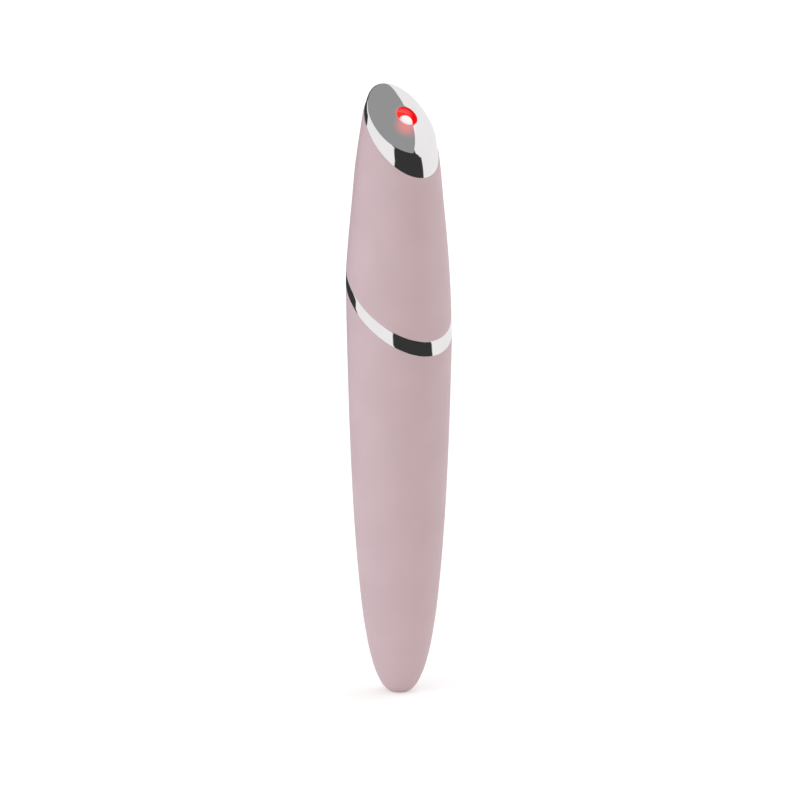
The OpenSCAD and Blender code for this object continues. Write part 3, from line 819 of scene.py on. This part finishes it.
core = {"colour": (124, 126, 130), "shade": (112, 113, 117), "metal": 1, "roughness": 0.4, "bump": 0.04 * mm,
        "sheet": 0.35, "share": 0.18,
        "marks": {"colour": (72, 72, 76), "metal": 1, "roughness": 0.55, "raised": -1.5}}


def sheetGaps(start):  # joints between the core's sheets
    _, _, z = spotIn(start)
    return stripes(z, core["sheet"], core["share"])


dress("motor_core", finish("core_sheets", core, sheetGaps))
# the marks' colour is painted shade between the turns of wire
windings = {"colour": (196, 104, 52), "shade": (178, 88, 42), "metal": 1, "roughness": 0.3, "grain": 5000,
            "bump": 0.05 * mm, "wire": 0.12, "share": 0.25,
            "marks": {"colour": (104, 46, 22), "metal": 1, "roughness": 0.5, "raised": -2}}


# painted shade in the gaps between the turns of wire
def wireGapShade(start):
    return stripes(radial(start, casing["upperBack"]), windings["wire"], windings["share"])


dress("motor_windings", finish("winding_wire", windings, wireGapShade))
commutator = {"colour": (206, 132, 78), "shade": (190, 118, 68), "metal": 1, "roughness": 0.25,
              "grain": 3000, "stretch": (1, 1, 5), "bump": 0.02 * mm, "slots": 3, "slotTurn": 0.4,
              "share": 0.09, "soft": 0.03, "marks": {"colour": (40, 30, 26), "roughness": 0.7, "raised": -2}}


def segmentGaps(start):  # slots between the commutator's segments
    x, y, _ = spotIn(start, casing["upperBack"])
    heading = x.maths("ARCTAN2", y, x) + commutator["slotTurn"]
    return stripes(heading, turn / commutator["slots"], commutator["share"], commutator["soft"])


dress("motor_commutator", finish("commutator_turned", commutator, segmentGaps))
weight = {"colour": (150, 150, 154), "shade": (134, 134, 138), "metal": 1, "roughness": 0.44, "spread": 0.18,
          "cloud": 3000, "grain": 9000, "bump": 0.04 * mm}
dress("motor_weight", finish("weight_sintered", weight))
print("switch, port and motor")

film = {"colour": (200, 118, 44), "shade": (190, 108, 38), "roughness": 0.3, "grain": 3000, "pitch": 1.3,
        "share": 0.5, "waveRate": 2.4, "wave": 0.12,
        "marks": {"colour": (168, 84, 34), "metal": 0.7, "roughness": 0.32, "raised": 0.8}}


def heaterTracks(start):  # etched tracks across the slope
    across, up, _ = slopeSpot(start)
    wave = across.maths("SINE", across * film["waveRate"]) * film["wave"]
    return stripes(up + wave, film["pitch"], film["share"])


dress("heater_film", finish("film_amber", film, heaterTracks))
# the pores are painted darker, painted shade inside them, and sunk by the bump
pad = {"colour": (76, 76, 80), "shade": (68, 68, 72), "roughness": 0.85, "grain": 5000, "bump": 0.12 * mm,
       "pores": 2600, "poreWidth": 0.32, "marks": {"colour": (52, 52, 55), "roughness": 0.95, "raised": -1.2}}
dress("insulation_pad", finish("pad_foam", pad, lambda start: spots(start, pad["pores"], pad["poreWidth"])))
sensor = {"colour": (52, 40, 34), "shade": (40, 30, 26), "roughness": 0.12, "grain": 3000, "bump": 0.006 * mm}
dress("temperature_sensor", finish("sensor_glass", sensor))
lightBoard = {"colour": (236, 235, 230), "shade": (230, 229, 223), "roughness": 0.35, "grain": 7000,
              "bump": 0.03 * mm, "padFrom": 2.1, "padTo": 2.75, "padSoft": 0.05, "pitch": 1.2, "share": 0.55,
              "marks": {"colour": (222, 186, 116), "metal": 1, "roughness": 0.25, "raised": -0.5}}


def solderPads(start):  # gilt pads along two edges of the light's board
    across, up, _ = slopeSpot(start)
    out, soft = unsigned(across), lightBoard["padSoft"]
    edges = above(out, lightBoard["padFrom"], soft) * (1 - above(out, lightBoard["padTo"], soft))
    return edges * stripes(up, lightBoard["pitch"], lightBoard["share"])


dress("light_board", finish("light_board_mask", lightBoard, solderPads))
redBody = {"colour": (214, 30, 24), "shade": (190, 22, 18), "glow": (0.9, 0.03, 0.02),
           "glowShade": (0.7, 0.02, 0.015), "cloud": 1200, "roughness": 0.15, "spread": 0.1}


def redLight():  # red body, lit from inside
    made, start, shader = surface("light_red", IOR=1.5, Emission_Strength=1.0)
    cloud = grain(start, redBody["cloud"], detail=2)
    feed(shader, {"Base Color": between(start, cloud, tone(*redBody["colour"]), tone(*redBody["shade"])),
                  "Roughness": redBody["roughness"] + cloud * redBody["spread"],
                  "Emission Color": between(start, cloud, redBody["glow"], redBody["glowShade"])})
    return made


dress("red_light", redLight())
leads = {"battery_leads": ((196, 34, 32), (178, 28, 26)), "charge_leads": ((38, 38, 40), (50, 50, 52)),
         "motor_leads": ((42, 66, 158), (36, 58, 142)), "head_leads": ((228, 224, 214), (218, 213, 202))}
for leadName, (colour, shade) in leads.items():
    sleeve = {"colour": colour, "shade": shade, "roughness": 0.36, "cloud": 900}
    dress(leadName, finish(leadName + "_sleeve", sleeve))
print("heater, light and leads")


# Studio, in metres and degrees
view = {"heading": 36.5, "elevation": 11.77, "away": 0.7106, "aimHeight": 0.06124, "lens": 153, "sensor": 36,
        "shift": (0.0007, 0.0098)}
room = {"level": 1.03, "fromSides": (0.7, 0.84, 0.95), "behind": 0.3, "dimmest": 32, "ceiling": (0.323,) * 3}


def aheadAndRight(start, vector):  # a vector's parts towards the camera and to its right
    side = math.radians(-90 - view["heading"])
    x, y = [start.node("ShaderNodeSeparateXYZ", {}, {0: vector}, k) for k in (0, 1)]
    return x * math.cos(side) + y * math.sin(side), y * math.cos(side) - x * math.sin(side)


def makeLight():  # soft all round, more of it and cooler from the front's left and from the back's right
    world = bpy.data.worlds.new("studio")
    bpy.context.scene.world = world
    world.use_nodes = True
    tree = world.node_tree
    start = Signal(tree)
    ahead, right = aheadAndRight(start, start.node("ShaderNodeTexCoord"))
    twist = math.radians(room["dimmest"])
    near = ahead * math.cos(twist) + right * math.sin(twist)
    far = right * math.cos(twist) - ahead * math.sin(twist)
    behind = near.maths("MAXIMUM", near * -1, 0)
    sides, rear = near * near - far * far, room["behind"] * behind * behind
    levels = [room["level"] * (1 - share * sides - rear) for share in room["fromSides"]]
    channels = [level.maths("MAXIMUM", level, 0) for level in levels]
    soft = start.node("ShaderNodeCombineXYZ", {}, dict(enumerate(channels)))
    glossy = start.node("ShaderNodeLightPath", output="Is Glossy Ray")
    camera = start.node("ShaderNodeLightPath", output="Is Camera Ray")
    seen = between(start, camera, between(start, glossy, soft, room["ceiling"]), (1.0, 1.0, 1.0))
    tree.links.new(seen.socket, tree.nodes["Background"].inputs["Color"])
    tree.nodes["Background"].inputs["Strength"].default_value = 1


cards = {"radius": 0.35, "faceHeight": 0.12, "segments": 360, "white": (0.92, 0.9, 0.9), "dark": (0.038,) * 3,
         "tops": ((-180, 55), (-110, 55), (-90, 42), (-9, 33), (58, 33), (65.5, 36.3), (78.5, 40.8),
                  (95, 45.4), (115, 48.5), (133, 49.4), (148, 45.5), (162, 37.1), (180, 36)),
         "farEdge": (-104, 10.5), "leftEdge": (-9.5, -7.5), "rightEdge": (76.5, 3.5), "rise": (0.03, 0.12),
         "lean": 9, "leaning": (0.125, 0.185), "leftEnd": (0.19, 0.24), "soft": 1.5}
# tops: heading from the camera and elevation; the edges: heading low down and how far it falls with the rise


def topAt(heading):
    for (low, first), (high, second) in zip(cards["tops"], cards["tops"][1:]):
        if heading <= high:
            lift = first + (second - first) * (heading - low) / (high - low)
            break
    return cards["faceHeight"] + cards["radius"] * math.tan(math.radians(lift))


def cardFinish():  # white cards and dark gaps, whose edges shift with the height and lean to the left
    made = bpy.data.materials.new("card_light")
    made.use_nodes = True
    tree = made.node_tree
    tree.nodes.clear()
    start = Signal(tree)
    ahead, right = aheadAndRight(start, start.node("ShaderNodeTexCoord", output="Object"))
    heading = start.maths("ARCTAN2", right, ahead) * (180 / math.pi)
    level = along(start, "Z")
    rise, lean = smoothly(level, *cards["rise"]), smoothly(level, *cards["leaning"]) * cards["lean"]
    far, left, right = [angle - rise * fall for angle, fall in
                        (cards["farEdge"], cards["leftEdge"], cards["rightEdge"])]
    left = left - lean * (1 - smoothly(level, *cards["leftEnd"]))

    def past(edge):
        return smoothly(heading - edge, -cards["soft"], cards["soft"])

    white = past(far) * (1 - past(left)) + past(right - lean)
    colour = between(start, white, cards["dark"], cards["white"])
    light = start.node("ShaderNodeEmission", {}, {"Color": colour, "Strength": 1.0})
    end = tree.nodes.new("ShaderNodeOutputMaterial")
    tree.links.new(light.socket, end.inputs["Surface"])
    return made


def makeCards():  # a wide ring of cards round the wand, seen only by its gloss
    mesh = bmesh.new()
    bmesh.ops.create_circle(mesh, segments=cards["segments"], radius=cards["radius"])
    grown = bmesh.ops.extrude_edge_only(mesh, edges=mesh.edges[:])["geom"]
    for vert in [v for v in grown if isinstance(v, bmesh.types.BMVert)]:
        heading = math.degrees(math.atan2(vert.co.y, vert.co.x)) + 90 + view["heading"]
        vert.co.z = topAt((heading + 180) % 360 - 180)
    made = addObject("cards", mesh)
    made.data.materials.append(cardFinish())
    made.visible_camera = False
    made.visible_diffuse = False
    made.visible_transmission = False
    made.visible_volume_scatter = False
    made.visible_shadow = False


floor = {"size": 3, "colour": (0.86,) * 3, "shade": (0.88,) * 3, "cloud": 4, "roughness": 0.9,
         "glow": (0.22,) * 3, "glowSeen": (0.27,) * 3, "glowInGloss": (0.1,) * 3}


def makeFloor():
    mesh = bmesh.new()
    bmesh.ops.create_grid(mesh, x_segments=1, y_segments=1, size=floor["size"])
    made = addObject("floor", mesh)
    paint, start, shader = surface("pale_floor", Roughness=floor["roughness"], Specular_IOR_Level=0.0,
                                   Emission_Strength=1.0)
    camera = start.node("ShaderNodeLightPath", output="Is Camera Ray")
    glossy = start.node("ShaderNodeLightPath", output="Is Glossy Ray")
    light = between(start, camera, floor["glow"], floor["glowSeen"])
    feed(shader, {"Base Color": between(start, grain(start, floor["cloud"]), floor["colour"], floor["shade"]),
                  "Emission Color": between(start, glossy, light, floor["glowInGloss"])})
    made.data.materials.append(paint)


def makeCamera():
    data = bpy.data.cameras.new("view")
    data.lens = view["lens"]
    data.sensor_width = view["sensor"]
    data.shift_x, data.shift_y = view["shift"]
    camera = bpy.data.objects.new("view", data)
    bpy.context.scene.collection.objects.link(camera)
    heading, elevation = math.radians(view["heading"]), math.radians(view["elevation"])
    aim = Vector((0, 0, view["aimHeight"]))
    spot = aim + view["away"] * Vector((-math.sin(heading) * math.cos(elevation),
                                        -math.cos(heading) * math.cos(elevation), math.sin(elevation)))
    camera.location = spot
    camera.rotation_euler = (aim - spot).to_track_quat("-Z", "Y").to_euler()
    bpy.context.scene.camera = camera


makeLight()
makeCards()
makeFloor()
makeCamera()
bpy.context.scene.view_settings.view_transform = "Standard"
print("light, cards, floor and camera")
